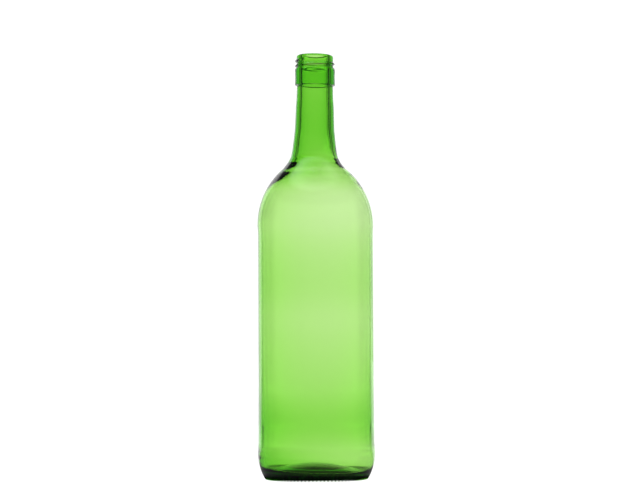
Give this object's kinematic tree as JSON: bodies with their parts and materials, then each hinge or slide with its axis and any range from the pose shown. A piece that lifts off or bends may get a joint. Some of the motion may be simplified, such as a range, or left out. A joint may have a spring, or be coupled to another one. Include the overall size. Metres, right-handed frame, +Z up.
{
  "type": "glass bottle",
  "caption": "Empty green glass bottle with a straight round body, rounded shoulders, a long neck and an external screw thread at its open mouth.",
  "frame": {"origin": "centre of the base, on the plane that the bottle stands on", "axes": "+Z up along the bottle's axis, from the base to the mouth; +X to the right as seen from the front"},
  "size_m": [0.0842, 0.0842, 0.3055],
  "materials": {
    "green_glass": "clear green, gloss"
  },
  "bodies": {
    "root": {"bottle": "green_glass"}
  },
  "joints": []
}
